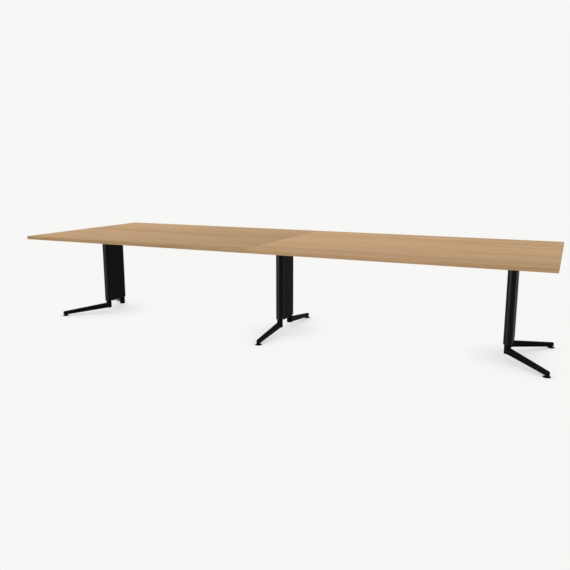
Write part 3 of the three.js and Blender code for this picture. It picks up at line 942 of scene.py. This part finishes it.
# %% [markdown]
# ## Hub and bores
# The hub and the tools for the bores are turned shapes, so they are stacks of circles. A Boolean joins
# the arm to the hub and drills the holes for bolt and stem, as a machinist does after casting. This is
# done once, and the six feet are turned copies of the one pattern.

# %% Turn the hub and the bores
HUB_SIDES = 96
HUB_TOP_EDGE = 0.0006
HUB_BOTTOM_EDGE = 0.003
HUB_EDGE_STEPS = 6
BORE_SIDES = 48
OVERCUT = 0.002
BOLT_BORE = 0.0063
BOLT_HEAD_BORE = 0.010
BOLT_HEAD_DEPTH = 0.014
STEM_BORE = 0.0053
COLLAR_BORE = 0.0085
COLLAR_DEPTH = 0.0046
BORE_CLEARANCE = 0.0003


def circle(radius, height, sides, centre=(0, 0)):
    angles = [2 * math.pi * side / sides for side in range(sides)]
    return [(centre[0] + radius * math.cos(a), centre[1] + radius * math.sin(a), height) for a in angles]


def turned(profile, sides, centre=(0, 0)):
    return to_mesh(skin([circle(radius, height, sides, centre) for radius, height in profile]), "turned")


def hub_profile():
    low, top = hub_radius - HUB_BOTTOM_EDGE, foot_high[2]
    profile = []
    for angle in quarter_turns(HUB_EDGE_STEPS):
        rise = HUB_BOTTOM_EDGE * (1 - math.cos(angle))
        profile.append((low + HUB_BOTTOM_EDGE * math.sin(angle), hub_bottom + rise))
    return profile + [(hub_radius, top - HUB_TOP_EDGE), (hub_radius - HUB_TOP_EDGE, top)]


def bore(wide, narrow, bottom, step, top, centre=(0, 0)):
    profile = [(wide, bottom - OVERCUT), (wide, step), (narrow, step), (narrow, top)]
    return turned(profile, BORE_SIDES, centre)


hub = turned(hub_profile(), HUB_SIDES)
bolt_step = hub_bottom + BOLT_HEAD_DEPTH
bolt_bore = bore(BOLT_HEAD_BORE, BOLT_BORE, hub_bottom, bolt_step, foot_high[2] + OVERCUT)
stem_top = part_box(f"{PATTERN}_glide_stem")[1][2] + BORE_CLEARANCE
collar_step = foot_low[2] + COLLAR_DEPTH
stem_bore = bore(COLLAR_BORE, STEM_BORE, foot_low[2], collar_step, stem_top, (reach, 0))
print(f"a hub of {2000 * hub_radius:.0f} mm and two stepped bores")

# %% Cast the feet


def combined(body, changes):
    item = placed(body, "body")
    tools = []
    for operation, mesh in changes:
        tool = placed(mesh, "tool")
        change = item.modifiers.new(operation, "BOOLEAN")
        change.operation = operation
        change.object = tool
        tools.append(tool)
    mesh = plain_mesh(item)
    for tool in tools:
        bpy.data.objects.remove(tool)
    return mesh


def heading(leg):
    from_hub = middle(f"{leg}_glide_pad") - middle(f"{leg}_tube")
    return math.atan2(from_hub.y, from_hub.x)


pattern = combined(hub, [("UNION", arm), ("DIFFERENCE", bolt_bore), ("DIFFERENCE", stem_bore)])
for leg in LEGS:
    x, y, _ = middle(f"{leg}_tube")
    foot = pattern.copy()
    foot.transform(Matrix.Translation((x, y, 0)) @ Matrix.Rotation(heading(leg), 4, "Z"))
    make_piece(foot, f"{leg}_casting", cast_coat, "frame", "black_coat", f"{leg}_foot")
print(f"{len(LEGS)} feet of {len(pattern.polygons)} faces each")

# %% [markdown]
# ## Bolts and plugs
# Under each hub a socket-head bolt runs up into a plug in the tube. They could be turned from circles
# again, but they sit out of sight, so their solids only get broken edges, as turned steel has. The bolt
# is zinc plated, and the plug is coated with its tube.

# %% Round the bolts and plugs
BOLT_EDGE = 0.0004

for leg in LEGS:
    bolt, plug = f"{leg}_foot_bolt", f"{leg}_tube_plug"
    make_piece(rounded(bolt, BOLT_EDGE), f"{bolt}_steel", zinc, "frame", "zinc_steel", bolt)
    make_piece(rounded(plug, BOLT_EDGE), f"{plug}_steel", tube_coat, "frame", "black_coat", plug)
print(f"{2 * len(LEGS)} bolts and plugs")

# %% [markdown]
# ## Pads of the glides
# Each foot stands on a levelling glide. Its pad is a moulded bell with a flat sole, and inside it is a
# socket for the ball of the stem. A Screw modifier could spin the outline, but a stack of circles closes
# the sole and the socket's floor at the same time.

# %% Turn the pads
PAD_SIDES = 96
PAD_RIM_HEIGHT = 0.0036
PAD_EDGE = 0.0009
PAD_EDGE_STEPS = 4
PAD_NECK_RADIUS = 0.012
PAD_NECK_EDGE = 0.0008
PAD_STEPS = 10
MOUTH_RADIUS = 0.0031
SOCKET_RADIUS = 0.0053
SOCKET_FLOOR = 0.002
SOCKET_LIP = 0.001


def pad_profile(radius, top):
    rim = radius - PAD_EDGE
    edge_centre = PAD_RIM_HEIGHT - PAD_EDGE
    fall = top - PAD_NECK_EDGE - PAD_RIM_HEIGHT
    profile = [(radius - PAD_EDGE / 2, 0), (radius, PAD_EDGE / 2)]
    for angle in quarter_turns(PAD_EDGE_STEPS):
        profile.append((rim + PAD_EDGE * math.cos(angle), edge_centre + PAD_EDGE * math.sin(angle)))
    for angle in quarter_turns(PAD_STEPS)[1:]:
        radius_here = rim - (rim - PAD_NECK_RADIUS) * math.sin(angle)
        profile.append((radius_here, PAD_RIM_HEIGHT + fall * (1 - math.cos(angle))))
    profile += [
        (PAD_NECK_RADIUS - PAD_NECK_EDGE, top),
        (MOUTH_RADIUS + PAD_NECK_EDGE / 2, top),
        (MOUTH_RADIUS, top - PAD_NECK_EDGE / 2),
        (MOUTH_RADIUS, top - SOCKET_LIP),
        (SOCKET_RADIUS, (top + SOCKET_FLOOR) / 2),
        (SOCKET_RADIUS, SOCKET_FLOOR),
    ]
    return profile


for leg in LEGS:
    node = f"{leg}_glide_pad"
    low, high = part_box(node)
    profile = pad_profile((high[1] - low[1]) / 2, high[2])
    pad = turned(profile, PAD_SIDES, middle(node))
    make_piece(pad, f"{leg}_pad_moulding", plastic, f"{leg}_pad", "glide_plastic", node)
print(f"{len(LEGS)} pads of {len(profile)} rings")

# %% [markdown]
# ## Stems of the glides
# A stem is a ball, a hexagon collar for a spanner and a screw thread, cut from one rod. A Screw modifier
# could wind the thread, but its ends would have to be joined to the rest by hand. Here the stem is one
# closed skin in which only the radius changes from point to point. The thread is a zigzag in the height
# less the share of a turn, so turning the stem by one turn moves it by one pitch.

# %% Shape the thread and the collar
STEM_RADIUS = 0.005
THREAD_PITCH = 0.0015
THREAD_DEPTH = 0.0008
THREAD_FADE = 0.0015


def hexagon(angle, radius):
    sixth = math.pi / 3
    return radius * math.cos(sixth / 2) / math.cos(angle % sixth - sixth / 2)


def thread(angle, height, top):
    turn = (height / THREAD_PITCH - angle / (2 * math.pi)) % 1
    groove = 1 - abs(2 * turn - 1)
    fade = min(1, max(0, (top - height) / THREAD_FADE))
    return STEM_RADIUS - THREAD_DEPTH * (1 - fade + fade * groove)


print(f"a thread with a pitch of {1000 * THREAD_PITCH:.1f} mm")

# %% Write the rules of a stem
NECK_RADIUS = 0.0028
BALL_STEPS = 10
COLLAR_RADIUS = 0.0075
COLLAR_HEIGHT = 0.004
COLLAR_GAP = 0.0003
COLLAR_EDGE = 0.0004
COLLAR_STEPS = (
    (0, COLLAR_EDGE),
    (COLLAR_EDGE, 0),
    (COLLAR_HEIGHT - COLLAR_EDGE, 0),
    (COLLAR_HEIGHT, COLLAR_EDGE),
)
THREAD_STEPS = 6


def stem_rules(bottom, foot_bottom, top):
    """Pairs of a height and the radius there, as a rule of the angle."""
    ball_height = foot_bottom - COLLAR_GAP - SOCKET_LIP - bottom
    ball = (ball_height**2 + NECK_RADIUS**2) / (2 * ball_height)
    neck_angle = math.acos(NECK_RADIUS / ball)
    rules = []
    for step in range(1, BALL_STEPS + 1):
        angle = -math.pi / 2 + (neck_angle + math.pi / 2) * step / BALL_STEPS
        rules.append((bottom + ball + ball * math.sin(angle), lambda a, r=ball * math.cos(angle): r))
    collar = foot_bottom + COLLAR_GAP
    rules.append((collar, lambda a: NECK_RADIUS))
    for rise, inset in COLLAR_STEPS:
        rules.append((collar + rise, lambda a, r=COLLAR_RADIUS - inset: hexagon(a, r)))
    start = collar + COLLAR_HEIGHT
    count = round((top - start) / THREAD_PITCH * THREAD_STEPS)
    for step in range(count + 1):
        height = start + (top - start) * step / count
        rules.append((height, lambda a, h=height: thread(a, h, top)))
    return rules


print(f"{BALL_STEPS} rings for the ball, and {THREAD_STEPS} for each turn of the thread")

# %% Cut the stems
STEM_SIDES = 48
angles = [2 * math.pi * side / STEM_SIDES for side in range(STEM_SIDES)]

for leg in LEGS:
    node = f"{leg}_glide_stem"
    low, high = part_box(node)
    centre = middle(node)
    foot_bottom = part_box(f"{leg}_foot")[0][2]
    rings = [
        [(centre.x + rule(a) * math.cos(a), centre.y + rule(a) * math.sin(a), height) for a in angles]
        for height, rule in stem_rules(low[2], foot_bottom, high[2])
    ]
    make_piece(to_mesh(skin(rings), node), f"{leg}_stem_thread", zinc, f"{leg}_stem", "zinc_steel", node)
print(f"{len(LEGS)} stems of {len(rings)} rings")

# %% [markdown]
# ## Screws and bolts under the tops
# Screws through the slots of the head channels hold the tops, and bolts hold the rails' end plates to
# the channels. Each could be modelled and copied by hand, but they repeat, so one tree makes a head from
# a few sizes and sets it on points: a washer, and on it a head with a chamfer and a recess.

# %% Helpers for screw heads
HEAD_SIZES = {
    "Sides": COUNT,
    "Head Radius": LENGTH,
    "Head Height": LENGTH,
    "Chamfer": LENGTH,
    "Washer Radius": LENGTH,
    "Washer Height": LENGTH,
    "Recess Sides": COUNT,
    "Recess Radius": LENGTH,
    "Recess Depth": LENGTH,
    "Finish": FINISH,
}
HEAD_SEGMENTS = 2


def lifted_cylinder(tree, sides, radius, height, base):
    inputs = {"Vertices": sides, "Side Segments": HEAD_SEGMENTS, "Radius": radius, "Depth": height}
    made = add(tree, "GeometryNodeMeshCylinder", inputs)
    up = calculate(tree, "ADD", base, calculate(tree, "MULTIPLY", height, 0.5))
    place = add(tree, "ShaderNodeCombineXYZ", {2: up})
    inputs = {"Geometry": made.outputs["Mesh"], "Translation": place.outputs[0]}
    return add(tree, "GeometryNodeTransform", inputs).outputs[0]


def chamfered(tree, shape, top, chamfer, radius):
    point = add(tree, "GeometryNodeInputPosition").outputs[0]
    height = add(tree, "ShaderNodeSeparateXYZ", {0: point}).outputs[2]
    near_top = calculate(tree, "GREATER_THAN", height, calculate(tree, "SUBTRACT", top, chamfer))
    drawn_in = calculate(tree, "MULTIPLY", near_top, calculate(tree, "DIVIDE", chamfer, radius))
    flat = calculate(tree, "SUBTRACT", 1.0, drawn_in)
    scale = add(tree, "ShaderNodeCombineXYZ", {0: flat, 1: flat, 2: 1.0})
    moved = add(tree, "ShaderNodeVectorMath", {0: point, 1: scale.outputs[0]}, operation="MULTIPLY")
    inputs = {"Geometry": shape, "Position": moved.outputs[0]}
    return add(tree, "GeometryNodeSetPosition", inputs).outputs[0]


print(f"a head has {len(HEAD_SIZES)} sizes")

# %% Write the recipe for a screw head
FACING = "facing"
WASHER_SIDES = 32
RECESS_TOOL_DEPTHS = 2.0


def recessed_head(tree, size):
    head_size = (size["Head Radius"], size["Head Height"], size["Washer Height"])
    head = lifted_cylinder(tree, size["Sides"], *head_size)
    top = calculate(tree, "ADD", size["Washer Height"], size["Head Height"])
    head = chamfered(tree, head, top, size["Chamfer"], size["Head Radius"])
    recess_base = calculate(tree, "SUBTRACT", top, size["Recess Depth"])
    deep = calculate(tree, "MULTIPLY", size["Recess Depth"], RECESS_TOOL_DEPTHS)
    recess = lifted_cylinder(tree, size["Recess Sides"], size["Recess Radius"], deep, recess_base)
    inputs = {"Mesh 1": head, "Mesh 2": recess}
    return add(tree, "GeometryNodeMeshBoolean", inputs, operation="DIFFERENCE").outputs[0]


def head_recipe():
    tree, keys = start_tree("screw_heads", HEAD_SIZES)
    size = add(tree, "NodeGroupInput").outputs
    washer = lifted_cylinder(tree, WASHER_SIDES, size["Washer Radius"], size["Washer Height"], 0.0)
    whole = add(tree, "GeometryNodeJoinGeometry")
    for shape in (washer, recessed_head(tree, size)):
        tree.links.new(shape, whole.inputs[0])
    facing = add(tree, "GeometryNodeInputNamedAttribute", {"Name": FACING}, data_type="FLOAT_VECTOR")
    turn = add(tree, "FunctionNodeAlignRotationToVector", {"Vector": facing.outputs[0]}, axis="Z")
    end_tree(tree, size, whole.outputs[0], Rotation=turn.outputs[0])
    return tree, keys


screw_head = head_recipe()
print(f"a tree of {len(screw_head[0].nodes)} nodes")

# %% [markdown]
# ## Where the screws sit
# The screws stand in rows on the flanges of the head channels and face down. The bolts stand in pairs on
# the end plates of the rails and face along them. Each point carries the direction in which its head
# faces, and the tree turns the head to it.

# %% Find the points
SHEET = 0.003
SCREW_ROW = 0.042
SCREW_PITCH = 0.210
SCREWS_PER_ROW = 4
PLATE = 0.004
PLATE_BOLT_OFFSET = 0.026


def screw_points(pedestal):
    low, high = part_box(f"{pedestal}_head_channel")
    centre = (low[0] + high[0]) / 2
    for x in (centre - SCREW_ROW, centre + SCREW_ROW):
        for index in range(SCREWS_PER_ROW):
            y = (index - (SCREWS_PER_ROW - 1) / 2) * SCREW_PITCH
            yield (x, y, high[2] - SHEET), (0, 0, -1)


def bolt_points(rail):
    low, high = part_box(rail)
    across, height = (low[1] + high[1]) / 2, (low[2] + high[2]) / 2
    for x, direction in ((low[0] + PLATE, 1), (high[0] - PLATE, -1)):
        for y in (across - PLATE_BOLT_OFFSET, across + PLATE_BOLT_OFFSET):
            yield (x, y, height), (direction, 0, 0)


screw_places = [point for pedestal in PEDESTALS for point in screw_points(pedestal)]
bolt_places = [point for rail in RAILS for point in bolt_points(rail)]
print(f"{len(screw_places)} screws into the tops and {len(bolt_places)} bolts on the rails")

# %% Set the screws and bolts
WOOD_SCREW = {
    "Sides": 24,
    "Head Radius": 0.0048,
    "Head Height": 0.0028,
    "Chamfer": 0.0012,
    "Washer Radius": 0.0062,
    "Washer Height": 0.0008,
    "Recess Sides": 6,
    "Recess Radius": 0.0022,
    "Recess Depth": 0.0016,
    "Finish": zinc,
}
PLATE_BOLT = {
    "Sides": 6,
    "Head Radius": 0.00577,
    "Head Height": 0.004,
    "Chamfer": 0.0005,
    "Washer Radius": 0.006,
    "Washer Height": 0.0012,
    "Recess Sides": 24,
    "Recess Radius": 0.0032,
    "Recess Depth": 0.0004,
    "Finish": zinc,
}


def set_heads(name, points, sizes):
    mesh = bpy.data.meshes.new(name)
    mesh.from_pydata([place for place, _ in points], [], [])
    directions = mesh.attributes.new(FACING, "FLOAT_VECTOR", "POINT").data
    for value, (_, direction) in zip(directions, points):
        value.vector = direction
    heads = grown(mesh, screw_head, sizes)
    make_piece(heads, name, sizes["Finish"], "frame", "zinc_steel")
    return len(heads.polygons)


screw_faces = set_heads("top_screws", screw_places, WOOD_SCREW)
bolt_faces = set_heads("rail_bolts", bolt_places, PLATE_BOLT)
print(f"screws of {screw_faces} faces and bolts of {bolt_faces} faces in all")
